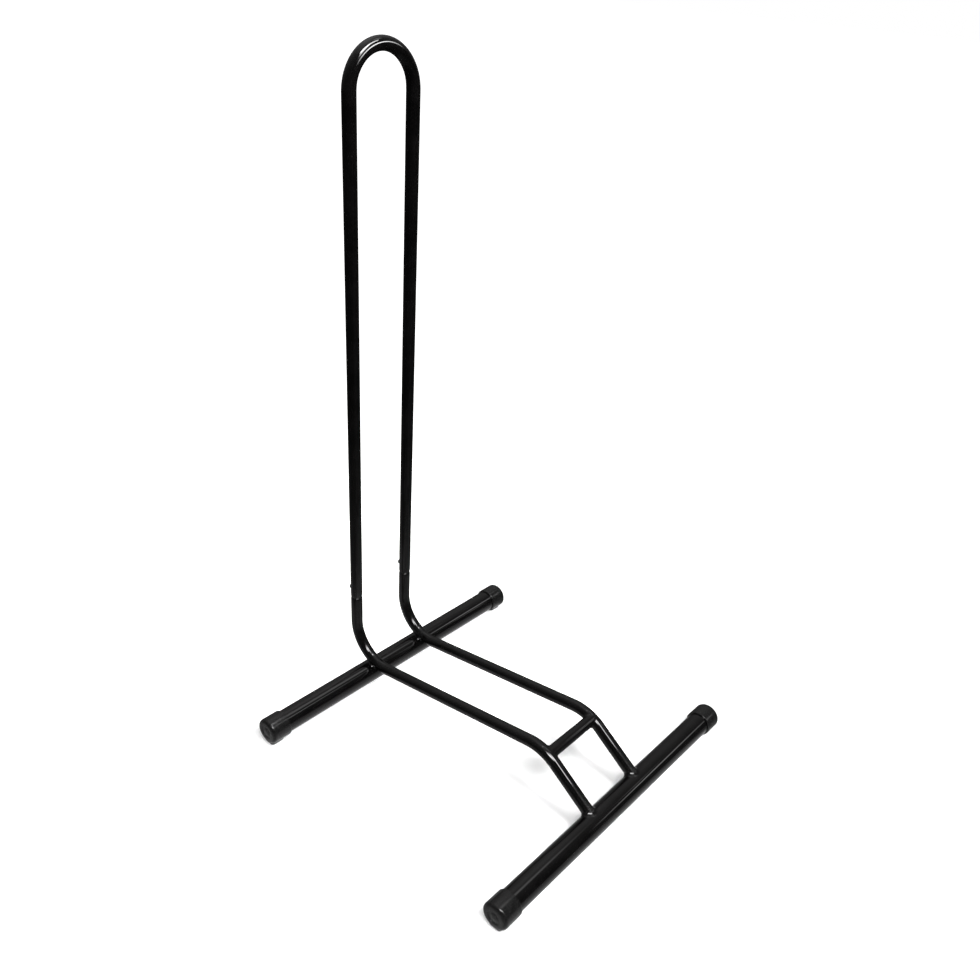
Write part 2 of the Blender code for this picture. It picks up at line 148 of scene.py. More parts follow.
# Cap sizes
CAP_EDGE = 4.5 * MM
CAP_WALL = 3.0 * MM
CAP_BORE_R = FOOT_R + 0.1 * MM
CAP_LIP = 1.1 * MM
CAP_MOUTH = 0.3 * MM
CAP_RING_OUT = 9.2 * MM
CAP_RING_IN = 5.0 * MM
CAP_RING_DEPTH = 0.9 * MM
CAP_SOFT = 0.4 * MM
CAP_DOME = 0.25 * MM
PAD_INSET = 2.0 * MM
PAD_LENGTH = 20.0 * MM
PAD_HALF_WIDTH = 9.0 * MM
PAD_ROOT = 8.0 * MM
PAD_SOFT = 0.6 * MM
PAD_CORNER = 4.0 * MM

# How finely the shapes are drawn
TUBE_SIDES = 64
FOOT_SIDES = 96
BUTTON_SIDES = 48
ROLL_STEPS = 10
ARCH_STEPS = 72
REAR_BEND_STEPS = 48
FRONT_BEND_STEPS = 28
CROSS_SHARES = (0.0, 0.02, 0.08, 0.5, 0.92, 0.98, 1.0)
WELD_STEPS = 9
WELD_POINTS = 192
MERGE_DISTANCE = 1e-7
CREASE = 35.0
WELD_CREASE = 60.0

# The finishes' relief and roughness, and the heights between which rubbing, the plastic's lighter low tone
# and heat tint fade
PEEL_HEIGHT = 0.005 * MM
WAVE_HEIGHT = 0.006 * MM
NIB_HEIGHT = 0.06 * MM
RUB_DEPTH = 0.004 * MM
RUB_STARTS = (JOINT_Z - 0.2 * MM, JOINT_Z + 1.0 * MM)
RUB_ENDS = (SPIGOT_TOP - 4.0 * MM, SPIGOT_TOP + 26.0 * MM)
SPARK_HEIGHT = 0.009 * MM
MOULD_HEIGHT = 0.015 * MM
SCRATCH_DEPTH = 0.008 * MM
LOW_TONE_ENDS = (1.0 * MM, 9.0 * MM)
TURNED_HEIGHT = 0.006 * MM
ROLLED_HEIGHT = 0.004 * MM
TINT_ENDS = (BUTTON_Z - 14.0 * MM, BUTTON_Z - 9.0 * MM)
PAINT_ROUGHNESS = (0.045, 0.08)
PLASTIC_ROUGHNESS = (0.15, 0.24)
BUTTON_ROUGHNESS = (0.18, 0.3)
STEEL_ROUGHNESS = (0.22, 0.4)
PAINT_IOR = 1.5
PLASTIC_IOR = 1.48

# Materials


def put(tree, kind, values=None, **settings):
    """Adds a shader node. A value is either a number or colour, or another node's output."""
    node = tree.nodes.new("ShaderNode" + kind)
    for key, value in settings.items():
        setattr(node, key, value)
    for key, value in (values or {}).items():
        if isinstance(value, bpy.types.NodeSocket):
            tree.links.new(value, node.inputs[key])
        else:
            node.inputs[key].default_value = value
    return node


def calc(tree, operation, first, second=0.0):
    return put(tree, "Math", {0: first, 1: second}, operation=operation).outputs[0]


def times(tree, first, second):
    return calc(tree, "MULTIPLY", first, second)


def plus(tree, value, share, amount):
    """A value with a share of an amount added to it."""
    return calc(tree, "ADD", value, times(tree, share, amount))


def span(tree, value, start, end, low=0.0, high=1.0):
    """Maps a value from start..end to low..high, smoothly and without running past either."""
    values = {"Value": value, "From Min": start, "From Max": end, "To Min": low, "To Max": high}
    return put(tree, "MapRange", values, interpolation_type="SMOOTHSTEP").outputs["Result"]


def curve(tree, value, stops):
    """A grey level that follows (place, level) stops."""
    node = put(tree, "ValToRGB", {"Fac": value})
    marks = node.color_ramp.elements
    while len(marks) < len(stops):
        marks.new(1.0)
    for mark, (place, level) in zip(marks, stops):
        mark.position = place
        mark.color = (level, level, level, 1.0)
    return node.outputs["Color"]


def noise(tree, place, scale, detail=2.0, roughness=0.5):
    """Noise whose scale is in waves per metre."""
    values = {"Vector": place, "Scale": scale, "Detail": detail, "Roughness": roughness}
    return put(tree, "TexNoise", values).outputs["Fac"]


def blend_colour(tree, share, first, second):
    """Mixes two colours. The Mix node keeps its colour sockets at places 6 and 7, and gives colour at 2."""
    return put(tree, "Mix", {0: share, 6: first, 7: second}, data_type="RGBA").outputs[2]


def blend_value(tree, share, first, second):
    """Mixes two numbers, which the Mix node keeps at places 2 and 3."""
    return put(tree, "Mix", {0: share, 2: first, 3: second}).outputs[0]


def tint(tree, colour, share, amount, other):
    """A colour with a share of another blended over it, no stronger than an amount."""
    return blend_colour(tree, times(tree, share, amount), colour, other)


def start_material(name):
    """An empty material with its shader, its node tree, and the object's own coordinates."""
    made = bpy.data.materials.new(name)
    made.use_nodes = True
    tree = made.node_tree
    shader = tree.nodes["Principled BSDF"]
    place = put(tree, "TexCoord").outputs["Object"]
    return made, tree, shader, place


def stretch(tree, place, scale):
    return put(tree, "Mapping", {"Vector": place, "Scale": scale}).outputs["Vector"]


def grey(level, cast=(1.0, 1.0, 1.0)):
    """A grey of a linear level, with a slight colour cast."""
    return (level * cast[0], level * cast[1], level * cast[2], 1.0)


# Colours: each finish's darkest and lightest stretch, then its marks

PAINT_BLACKS = (grey(0.0009, (1.06, 0.96, 1.0)), grey(0.0021, (1.05, 0.97, 1.0)))
PAINT_RUBBED = grey(0.022)
PAINT_WORN = grey(0.03)
PAINT_NIB = grey(0.05)
PLASTIC_BLACKS = (grey(0.004), grey(0.008))
PLASTIC_SCUFF = grey(0.025)
PLASTIC_SCRATCH = grey(0.03)
PLASTIC_LOW_TONE = grey(0.045, (1.05, 1.0, 0.94))
BUTTON_BLACKS = (grey(0.006), grey(0.02))
STEEL_GREYS = (grey(0.42, (1.0, 0.99, 0.97)), grey(0.58, (1.0, 0.99, 0.98)))
STEEL_RUBBED = grey(0.66)
HEAT_TINT = (0.3, 0.24, 0.19, 1.0)


def connect(tree, shader, colour, rough, relief):
    """Gives a shader its colour, its roughness and its relief in metres."""
    bump = put(tree, "Bump", {"Strength": 1.0, "Distance": 1.0, "Height": relief})
    tree.links.new(colour, shader.inputs["Base Color"])
    tree.links.new(rough, shader.inputs["Roughness"])
    tree.links.new(bump.outputs["Normal"], shader.inputs["Normal"])


def paint_finish():
    """Gloss black paint: orange peel, slow waviness, dust nibs, thin edges, and rubbing at the joint."""
    made, tree, shader, place = start_material("gloss_black_paint")
    edge = put(tree, "NewGeometry").outputs["Pointiness"]
    height = put(tree, "SeparateXYZ", {0: place}).outputs["Z"]

    streaks = noise(tree, stretch(tree, place, (900.0, 900.0, 22.0)), 1.0, 3.0, 0.6)
    joint = times(tree, span(tree, height, *RUB_STARTS), span(tree, height, *RUB_ENDS, 1.0, 0.0))
    rubbed = times(tree, span(tree, streaks, 0.5, 0.68), joint)
    worn = span(tree, plus(tree, edge, noise(tree, place, 420.0), 0.05), 0.6, 0.66)
    cells = put(tree, "TexVoronoi", {"Vector": place, "Scale": 70.0, "Randomness": 1.0})
    nib = span(tree, cells.outputs["Distance"], 0.012, 0.045, 1.0, 0.0)

    cloud = span(tree, noise(tree, place, 38.0, 4.0, 0.6), 0.35, 0.7)
    colour = blend_colour(tree, cloud, *PAINT_BLACKS)
    colour = tint(tree, colour, rubbed, 0.6, PAINT_RUBBED)
    colour = tint(tree, colour, worn, 0.5, PAINT_WORN)
    colour = tint(tree, colour, nib, 0.5, PAINT_NIB)

    rough = span(tree, noise(tree, place, 95.0, 3.0, 0.6), 0.3, 0.7, *PAINT_ROUGHNESS)
    rough = plus(tree, rough, rubbed, 0.2)
    rough = plus(tree, rough, worn, 0.12)

    relief = times(tree, noise(tree, place, 620.0, 1.0, 0.4), PEEL_HEIGHT)
    relief = plus(tree, relief, noise(tree, place, 95.0, 1.0, 0.4), WAVE_HEIGHT)
    relief = plus(tree, relief, nib, NIB_HEIGHT)
    relief = plus(tree, relief, rubbed, -RUB_DEPTH)
    connect(tree, shader, colour, rough, relief)
    shader.inputs["IOR"].default_value = PAINT_IOR
    return made


def plastic_finish():
    """Satin black moulded plastic: fine spark grain, scuffed edges, and lighter, warmer patches low down by
    the floor.
    """
    made, tree, shader, place = start_material("satin_black_plastic")
    edge = put(tree, "NewGeometry").outputs["Pointiness"]
    height = put(tree, "SeparateXYZ", {0: place}).outputs["Z"]

    patches = noise(tree, place, 130.0, 3.0, 0.6)
    scuffed = span(tree, plus(tree, edge, patches, 0.08), 0.58, 0.68)
    scratches = noise(tree, stretch(tree, place, (240.0, 1500.0, 1500.0)), 1.0, 2.0, 0.5)
    scratched = span(tree, scratches, 0.66, 0.74)
    # Lighter, warmer patches of colour low down, towards the floor
    low_tone = times(tree, span(tree, height, *LOW_TONE_ENDS, 1.0, 0.0), patches)

    colour = blend_colour(tree, patches, *PLASTIC_BLACKS)
    colour = tint(tree, colour, scuffed, 0.4, PLASTIC_SCUFF)
    colour = tint(tree, colour, scratched, 0.25, PLASTIC_SCRATCH)
    colour = tint(tree, colour, low_tone, 0.5, PLASTIC_LOW_TONE)

    rough = span(tree, patches, 0.25, 0.75, *PLASTIC_ROUGHNESS)
    rough = plus(tree, rough, scuffed, 0.15)

    spark = put(tree, "TexVoronoi", {"Vector": place, "Scale": 1700.0}, feature="SMOOTH_F1")
    relief = times(tree, spark.outputs["Distance"], SPARK_HEIGHT)
    relief = plus(tree, relief, noise(tree, place, 160.0, 1.0, 0.4), MOULD_HEIGHT)
    relief = plus(tree, relief, scratched, -SCRATCH_DEPTH)
    connect(tree, shader, colour, rough, relief)
    shader.inputs["IOR"].default_value = PLASTIC_IOR
    return made


def button_finish():
    """Blackened button heads, a little polished on the crown by fingers."""
    made, tree, shader, place = start_material("black_button")
    depth = put(tree, "SeparateXYZ", {0: place}).outputs["Y"]
    crown = span(tree, depth, LEG_Y + BUTTON_TIP - BUTTON_CROWN, LEG_Y + BUTTON_TIP)
    patches = noise(tree, place, 700.0, 3.0, 0.6)
    colour = blend_colour(tree, times(tree, crown, patches), *BUTTON_BLACKS)
    rough = span(tree, patches, 0.3, 0.7, *BUTTON_ROUGHNESS)
    relief = times(tree, noise(tree, place, 1400.0, 2.0, 0.5), TURNED_HEIGHT)
    connect(tree, shader, colour, rough, relief)
    return made


def steel_finish():
    """Rolled spring steel: lengthwise grain, darker heat tint at the fold, rubbed corners."""
    made, tree, shader, place = start_material("spring_steel")
    edge = put(tree, "NewGeometry").outputs["Pointiness"]
    height = put(tree, "SeparateXYZ", {0: place}).outputs["Z"]
    grain = noise(tree, stretch(tree, place, (5200.0, 5200.0, 160.0)), 1.0, 3.0, 0.6)
    stain = times(tree, span(tree, height, *TINT_ENDS, 1.0, 0.0), noise(tree, place, 500.0, 2.0, 0.5))
    colour = blend_colour(tree, grain, *STEEL_GREYS)
    colour = blend_colour(tree, stain, colour, HEAT_TINT)
    colour = blend_colour(tree, span(tree, edge, 0.53, 0.6), colour, STEEL_RUBBED)
    rough = span(tree, grain, 0.25, 0.75, *STEEL_ROUGHNESS)
    connect(tree, shader, colour, rough, times(tree, grain, ROLLED_HEIGHT))
    shader.inputs["Metallic"].default_value = 1.0
    return made


PAINT = paint_finish()
PLASTIC = plastic_finish()
BUTTON_BLACK = button_finish()
STEEL = steel_finish()

# Mesh building


def shares(steps):
    """Even steps from 0 to 1, with both ends."""
    return [step / steps for step in range(steps + 1)]


def along_turn(count):
    """Shares of one turn, and the angles that they make."""
    return [(i / count, 2.0 * math.pi * i / count) for i in range(count)]


def make_object(name, verts, faces, crease=CREASE):
    """A smooth mesh object with outward normals and crisp edges above an angle in degrees."""
    mesh = bpy.data.meshes.new(name)
    mesh.from_pydata([tuple(v) for v in verts], [], faces)
    work = bmesh.new()
    work.from_mesh(mesh)
    bmesh.ops.remove_doubles(work, verts=work.verts, dist=MERGE_DISTANCE)
    bmesh.ops.recalc_face_normals(work, faces=work.faces)
    for face in work.faces:
        face.smooth = True
    work.to_mesh(mesh)
    work.free()
    mesh.set_sharp_from_angle(angle=math.radians(crease))
    made = bpy.data.objects.new(name, mesh)
    bpy.context.scene.collection.objects.link(made)
    return made


def dress(piece, body, node, finish):
    """Gives a piece its finish and the body that it rides on, and hides the CAD node that it stands for."""
    piece.data.materials.clear()
    piece.data.materials.append(finish)
    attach(piece, body)
    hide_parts(node)


def boolean(piece, other, operation):
    """Cuts or joins another object into a piece for good, and removes that object."""
    step = piece.modifiers.new(operation, "BOOLEAN")
    step.operation = operation
    step.solver = "EXACT"
    step.object = other
    bpy.context.view_layer.update()
    graph = bpy.context.evaluated_depsgraph_get()
    mesh = bpy.data.meshes.new_from_object(piece.evaluated_get(graph))
    piece.modifiers.clear()
    piece.data = mesh
    bpy.data.objects.remove(other, do_unlink=True)
    mesh.set_sharp_from_angle(angle=math.radians(CREASE))


def bridge(faces, first, second, count):
    """Quads between two rings of the same number of points."""
    for i in range(count):
        j = (i + 1) % count
        faces.append((first + i, first + j, second + j, second + i))


def ring(centre, first, second, wide, deep, sides):
    """Points round an ellipse: wide along the first direction and deep along the second."""
    points = []
    for _, angle in along_turn(sides):
        points.append(centre + wide * math.cos(angle) * first + deep * math.sin(angle) * second)
    return points


def tangents(points):
    """The direction of a line at each of its points."""
    found = []
    for i in range(len(points)):
        ahead = points[min(i + 1, len(points) - 1)]
        behind = points[max(i - 1, 0)]
        found.append((ahead - behind).normalized())
    return found


def shell(outer_rings, inner_rings):
    """A closed tube wall from its outer rings, then back along its inner rings."""
    verts = []
    faces = []
    rings = outer_rings + inner_rings[::-1]
    sides = len(rings[0])
    for points in rings:
        verts += points
    for i in range(len(rings)):
        bridge(faces, i * sides, ((i + 1) % len(rings)) * sides, sides)
    return verts, faces


def turned(profile, sides):
    """A closed solid of revolution round X from (radius, x) pairs."""
    verts = []
    faces = []
    rings = []
    for radius, x in profile:
        centre = Vector((x, 0.0, 0.0))
        if radius == 0.0:
            rings.append((len(verts), 1))
            verts.append(centre)
        else:
            rings.append((len(verts), sides))
            verts += ring(centre, DEEP, UP, radius, radius, sides)
    for (first, many), (second, more) in zip(rings, rings[1:]):
        if many == 1:
            faces += [(first, second + i, second + (i + 1) % sides) for i in range(sides)]
        elif more == 1:
            faces += [(first + (i + 1) % sides, first + i, second) for i in range(sides)]
        else:
            bridge(faces, first, second, sides)
    return verts, faces


def arc(radius, x, size, start, end, steps):
    """Profile points on a small round, as (radius, x), between two angles in degrees."""
    points = []
    for share in shares(steps):
        angle = math.radians(start + (end - start) * share)
        points.append((radius + size * math.sin(angle), x + size * math.cos(angle)))
    return points


def on_button_axis(name, profile, side):
    """A solid turned round a button's axis, from (radius, place behind the leg's centre) pairs."""
    verts, faces = turned(profile, BUTTON_SIDES)
    spots = [Vector((side * LEG_X + v.y, LEG_Y + v.x, BUTTON_Z + v.z)) for v in verts]
    return make_object(name, spots, faces)


def hole_cutter(name, side):
    """The round cutter of a button's hole, through one wall only."""
    reach = 2.0 * TUBE_R
    radius = BUTTON_R + BUTTON_FIT
    return on_button_axis(name, [(0.0, 0.0), (radius, 0.0), (radius, reach), (0.0, reach)], side)


# Centre lines

BEND_Y = LEG_Y - REAR_BEND_R
BEND_REACH = REAR_BEND_R + TUBE_R + FOOT_R + CONTACT_GAP
BEND_Z = FOOT_Z + math.sqrt(BEND_REACH ** 2 - (REAR_Y - BEND_Y) ** 2)


def rail_line():
    """A rail's centre line as (y, z) from the joint to the end of its front bend, and that bend's centre."""
    line = [(LEG_Y, JOINT_Z - JOINT_GAP - SHOULDER_LENGTH)]
    for share in shares(REAR_BEND_STEPS):
        angle = (math.pi / 2 + RAIL_RISE) * share
        line.append((BEND_Y + REAR_BEND_R * math.cos(angle), BEND_Z - REAR_BEND_R * math.sin(angle)))
    start_y, start_z = line[-1]
    lead_y = FRONT_Y - DROP_LEAD * math.sin(DROP_ANGLE)
    lead_z = FOOT_Z + DROP_LEAD * math.cos(DROP_ANGLE)
    fall = start_z - lead_z + start_y * math.tan(RAIL_RISE) + lead_y * math.tan(DROP_ANGLE)
    corner_y = fall / (math.tan(RAIL_RISE) + math.tan(DROP_ANGLE))
    corner_z = start_z + (start_y - corner_y) * math.tan(RAIL_RISE)
    tangent = FRONT_BEND_R * math.tan(0.5 * (RAIL_RISE + DROP_ANGLE))
    first_y = corner_y + tangent * math.cos(RAIL_RISE)
    first_z = corner_z - tangent * math.sin(RAIL_RISE)
    centre_y = first_y - FRONT_BEND_R * math.sin(RAIL_RISE)
    centre_z = first_z - FRONT_BEND_R * math.cos(RAIL_RISE)
    for share in shares(FRONT_BEND_STEPS):
        angle = math.pi / 2 - RAIL_RISE + (RAIL_RISE + DROP_ANGLE) * share
        line.append((centre_y + FRONT_BEND_R * math.cos(angle), centre_z + FRONT_BEND_R * math.sin(angle)))
    return line, (centre_y, centre_z)


RAIL_LINE, FRONT_BEND = rail_line()
CROSS_Y = FRONT_BEND[0] - FRONT_BEND_R * math.sin(CROSS_TURN)
CROSS_Z = FRONT_BEND[1] + FRONT_BEND_R * math.cos(CROSS_TURN)
DROP = Vector((0.0, -math.cos(DROP_ANGLE), -math.sin(DROP_ANGLE)))
FRONT_AXIS = Vector((0.0, FRONT_Y, FOOT_Z))
REAR_AXIS = Vector((0.0, REAR_Y, FOOT_Z))


def reach_foot(start, radius):
    """How far it is along the drop from start to a cylinder of some radius round the front foot's axis."""
    offset = Vector((0.0, start.y - FRONT_AXIS.y, start.z - FRONT_AXIS.z))
    half = offset.dot(DROP)
    return -half - math.sqrt(half * half - offset.length_squared + radius ** 2)


# Tubes


def rail(name, side):
    """One bent rail, from the spigot's open top to the front foot tube."""
    x = side * LEG_X
    shoulder = JOINT_Z - JOINT_GAP
    edge = arc(SPIGOT_R - SPIGOT_EDGE, SPIGOT_TOP - SPIGOT_EDGE, SPIGOT_EDGE, 0.0, 90.0, 4)
    outer = [radius for radius, _ in edge]
    heights = [height for _, height in edge]
    inner = [SPIGOT_R - TUBE_WALL] * len(edge)
    for share in shares(ROLL_STEPS):
        heights.append(shoulder - share * SHOULDER_LENGTH)
        swell = math.sin(0.5 * math.pi * share) ** SHOULDER_CURVE
        outer.append(SPIGOT_R + (TUBE_R - SPIGOT_R) * swell)
        inner.append(SPIGOT_R - TUBE_WALL + (BORE_R - SPIGOT_R + TUBE_WALL) * share)
    points = [Vector((x, LEG_Y, height)) for height in heights]
    points += [Vector((x, y, z)) for y, z in RAIL_LINE[1:]]
    outer += [TUBE_R] * (len(points) - len(outer))
    inner += [BORE_R] * (len(points) - len(inner))
    outer_rings = []
    inner_rings = []
    for point, along, big, small in zip(points, tangents(points), outer, inner):
        normal = along.cross(ACROSS).normalized()
        outer_rings.append(ring(point, ACROSS, normal, big, big, TUBE_SIDES))
        inner_rings.append(ring(point, ACROSS, normal, small, small, TUBE_SIDES))
    for rings in (outer_rings, inner_rings):
        rings.append([spot + reach_foot(spot, FOOT_R - SEAT) * DROP for spot in rings[-1]])
    piece = make_object(name, *shell(outer_rings, inner_rings))
    boolean(piece, hole_cutter(name + "_hole", side), "DIFFERENCE")
    return piece


def hoop(name):
    """The tall hoop with rolled-in open ends and a bend pressed a little flat."""
    leg = []
    for share in shares(ROLL_STEPS):
        radius = TUBE_R - HOOP_ROLL_DROP * (1.0 - share) ** HOOP_ROLL_CURVE
        leg.append((JOINT_Z + share * HOOP_ROLL_LENGTH, radius))
    points = [Vector((-LEG_X, LEG_Y, height)) for height, _ in leg]
    wide = [radius for _, radius in leg]
    deep = list(wide)
    for share in shares(ARCH_STEPS):
        angle = math.pi * (1.0 - share)
        press = min(1.0, ARCH_PRESS_ONSET * math.sin(angle))
        press = press * press * (3.0 - 2.0 * press)
        radius = LEG_X + press * ARCH_FLATTENING
        points.append(Vector((radius * math.cos(angle), LEG_Y, ARCH_Z + radius * math.sin(angle))))
        wide.append(TUBE_R + press * ARCH_SPREAD)
        deep.append(TUBE_R - press * ARCH_FLATTENING)
    points += [Vector((LEG_X, LEG_Y, height)) for height, _ in reversed(leg)]
    wide += [radius for _, radius in reversed(leg)]
    deep += [radius for _, radius in reversed(leg)]
    outer_rings = []
    inner_rings = []
    for point, along, across, through in zip(points, tangents(points), wide, deep):
        normal = along.cross(DEEP).normalized()
        rolled = through < BORE_R + TUBE_WALL / 2
        wall = TUBE_WALL - HOOP_ROLL_DROP if rolled else TUBE_WALL
        bore = min(BORE_R, through - wall)
        outer_rings.append(ring(point, DEEP, normal, across, through, TUBE_SIDES))
        inner_rings.append(ring(point, DEEP, normal, BORE_R, bore, TUBE_SIDES))
    piece = make_object(name, *shell(outer_rings, inner_rings))
    boolean(piece, hole_cutter(name + "_left_hole", -1), "DIFFERENCE")
    boolean(piece, hole_cutter(name + "_right_hole", 1), "DIFFERENCE")
    return piece


def foot_tube(name, y):
    """A straight foot tube with deburred open ends."""
    outer_rings = []
    inner_rings = []
    inner = FOOT_R - FOOT_WALL
    profile = (
        (-FOOT_HALF, FOOT_R - FOOT_EDGE),
        (-FOOT_HALF + FOOT_EDGE, FOOT_R),
        (FOOT_HALF - FOOT_EDGE, FOOT_R),
        (FOOT_HALF, FOOT_R - FOOT_EDGE),
    )
    for x, radius in profile:
        centre = Vector((x, y, FOOT_Z))
        outer_rings.append(ring(centre, DEEP, UP, radius, radius, FOOT_SIDES))
        inner_rings.append(ring(centre, DEEP, UP, inner, inner, FOOT_SIDES))
    return make_object(name, *shell(outer_rings, inner_rings))


def nearest_on_rail(y, z):
    """Distance from a point of the side view to a rail's centre line, with the nearest point there."""
    best = None
    for (y0, z0), (y1, z1) in zip(RAIL_LINE, RAIL_LINE[1:]):
        run = Vector((y1 - y0, z1 - z0))
        share = Vector((y - y0, z - z0)).dot(run) / run.length_squared
        near = Vector((y0, z0)) + min(1.0, max(0.0, share)) * run
        far = (Vector((y, z)) - near).length
        if best is None or far < best[0]:
            best = (far, near)
    return best


def cross_seam(side, radius, points, inset=0.0):
    """Points where the cross tube's surface meets a rail's surface."""
    seam = []
    for _, angle in along_turn(points):
        y = CROSS_Y + radius * math.cos(angle + CROSS_TURN)
        z = CROSS_Z + radius * math.sin(angle + CROSS_TURN)
        far = min(nearest_on_rail(y, z)[0], TUBE_R)
        depth = math.sqrt(TUBE_R ** 2 - far ** 2)
        seam.append(Vector((side * (LEG_X - max(depth - inset, 0.0)), y, z)))
    return seam


def cross_rings(radius):
    """Rings of the cross tube from rail to rail, closest together near the ends."""
    left = cross_seam(-1, radius, TUBE_SIDES, SEAT)
    right = cross_seam(1, radius, TUBE_SIDES, SEAT)
    return [[a.lerp(b, share) for a, b in zip(left, right)] for share in CROSS_SHARES]


def cross_tube(name):
    """The cross tube, coped to both rails."""
    return make_object(name, *shell(cross_rings(TUBE_R), cross_rings(BORE_R)))


# Welds


def ripple(share, seed):
    """A gentle hand-laid unevenness, between about -1 and 1, at a share of one turn."""
    turn = 2.0 * math.pi * share
    return sum(size * math.sin(waves * turn + shift * seed) for waves, size, shift in RIPPLES)


def fillet(name, seams, seed):
    """A hollow weld with a rippled bead. Each seam entry holds the fillet's foot on either surface,
    with the direction back to the seam there."""
    verts = []
    roots = []
    for i, (first, first_in, second, second_in) in enumerate(seams):
        share = i / len(seams)
        half = 0.5 * (first - second).length
        corner = 0.5 * (first + second) + WELD_ROOT * half * (first_in + second_in)
        out = (0.5 * (first + second) - corner).normalized()
        puddle = abs(math.sin(math.pi * BEADS_PER_TURN * share + PUDDLE_SHIFT * ripple(share, seed)))
        lift = BEAD_HEIGHT * (1.0 - puddle ** 2)
        for t in shares(WELD_STEPS):
            spot = (1 - t) ** 3 * first + t ** 3 * second
            spot += 3 * (1 - t) ** 2 * t * (first + WELD_HOLLOW * half * first_in)
            spot += 3 * (1 - t) * t ** 2 * (second + WELD_HOLLOW * half * second_in)
            verts.append(spot - 4.0 * t * (1.0 - t) * lift * out)
        roots.append(corner)
    faces = []
    wide = WELD_STEPS + 1
    base = len(verts)
    verts += roots
    for i in range(len(seams)):
        j = (i + 1) % len(seams)
        for step in range(WELD_STEPS):
            faces.append((i * wide + step, i * wide + step + 1, j * wide + step + 1, j * wide + step))
        faces.append((i * wide + WELD_STEPS, base + i, base + j, j * wide + WELD_STEPS))
        faces.append((base + i, i * wide, j * wide, base + j))
    return make_object(name, verts, faces, crease=WELD_CREASE)


def onto_axis(spot, axis):
    """The point level with a spot on a foot tube's axis, and the direction from it to the spot."""
    out = Vector((0.0, spot.y - axis.y, spot.z - axis.z)).normalized()
    return Vector((spot.x, axis.y, axis.z)), out


def onto_rail(spot, side):
    """The nearest point to a spot on a rail's centre line, and the direction from it to the spot."""
    near = nearest_on_rail(spot.y, spot.z)[1]
    centre = Vector((side * LEG_X, near.x, near.y))
    return centre, (spot - centre).normalized()


def foot_weld(name, side):
    """The weld between a rail's front end and the front foot tube."""
    seed = 1.3 * side
    upward = DROP.cross(ACROSS).normalized()
    end = Vector((side * LEG_X, *RAIL_LINE[-1]))
    seams = []
    for share, angle in along_turn(WELD_POINTS):
        radial = math.cos(angle) * ACROSS + math.sin(angle) * upward
        start = end + TUBE_R * radial
        seam = start + reach_foot(start, FOOT_R) * DROP
        size = FOOT_WELD_LEG * (1.0 + LEG_UNEVENNESS * ripple(share, seed))
        first = seam - size * DROP - WELD_SINK * radial
        out = onto_axis(seam, FRONT_AXIS)[1]
        away = (radial - radial.dot(out) * out).normalized()
        centre, out = onto_axis(seam + size * away, FRONT_AXIS)
        second = centre + (FOOT_R - WELD_SINK) * out
        seams.append((first, DROP, second, (seam - second).normalized()))
    return fillet(name, seams, seed)


def cross_weld(name, side):
    """The weld between the cross tube and a rail."""
    seed = 2.2 + side
    points = cross_seam(side, TUBE_R, WELD_POINTS)
    inward = -side * ACROSS
    axis = Vector((0.0, CROSS_Y, CROSS_Z))
    seams = []
    for i, seam in enumerate(points):
        radial = onto_axis(seam, axis)[1]
        out = onto_rail(seam, side)[1]
        run = (points[(i + 1) % WELD_POINTS] - points[i - 1]).normalized()
        away = run.cross(out).normalized()
        # Of the two ways along the rail's surface, the leg takes the one that leads off the cross tube
        if away.dot(radial - CROSS_WELD_LEAN * inward) < 0.0:
            away = -away
        full = CROSS_WELD_LEAST + (1.0 - CROSS_WELD_LEAST) * abs(seam.x - side * LEG_X) / TUBE_R
        size = CROSS_WELD_LEG * full * (1.0 + LEG_UNEVENNESS * ripple(i / WELD_POINTS, seed))
        first = seam + size * inward - WELD_SINK * radial
        centre, out = onto_rail(seam + size * away, side)
        second = centre + (TUBE_R - WELD_SINK) * out
        seams.append((first, -inward, second, (seam - second).normalized()))
    return fillet(name, seams, seed)


def saddle_weld(name, side):
    """The weld round the patch where a rear bend lies on the rear foot tube."""
    seed = 4.1 + side
    down = Vector((0.0, REAR_Y - BEND_Y, FOOT_Z - BEND_Z)).normalized()
    lengthways = down.cross(ACROSS).normalized()
    touch = Vector((side * LEG_X, BEND_Y, BEND_Z)) + (REAR_BEND_R + TUBE_R) * down
    seams = []
    for share, angle in along_turn(WELD_POINTS):
        size = 1.0 + SADDLE_UNEVENNESS * ripple(share, seed)
        offset = SADDLE_ALONG * math.cos(angle) * lengthways + SADDLE_ACROSS * math.sin(angle) * ACROSS
        spot = touch + size * offset
        centre, out = onto_rail(spot, side)
        first = centre + (TUBE_R - WELD_SINK) * out
        first_in = touch - first
        first_in = (first_in - first_in.dot(out) * out).normalized()
        centre, out = onto_axis(spot, REAR_AXIS)
        second = centre + (FOOT_R - WELD_SINK) * out
        second_in = touch - second
        second_in = (second_in - second_in.dot(out) * out).normalized()
        seams.append((first, first_in, second, second_in))
    return fillet(name, seams, seed)


# End caps, buttons and springs


def on_foot_axis(name, profile, side, y):
    """A solid turned round a foot tube's axis, from (radius, place past the cap's face) pairs."""
    verts, faces = turned(profile, FOOT_SIDES)
    spots = [Vector((side * (CAP_END + v.x), y + v.y, FOOT_Z + v.z)) for v in verts]
    return make_object(name, spots, faces)


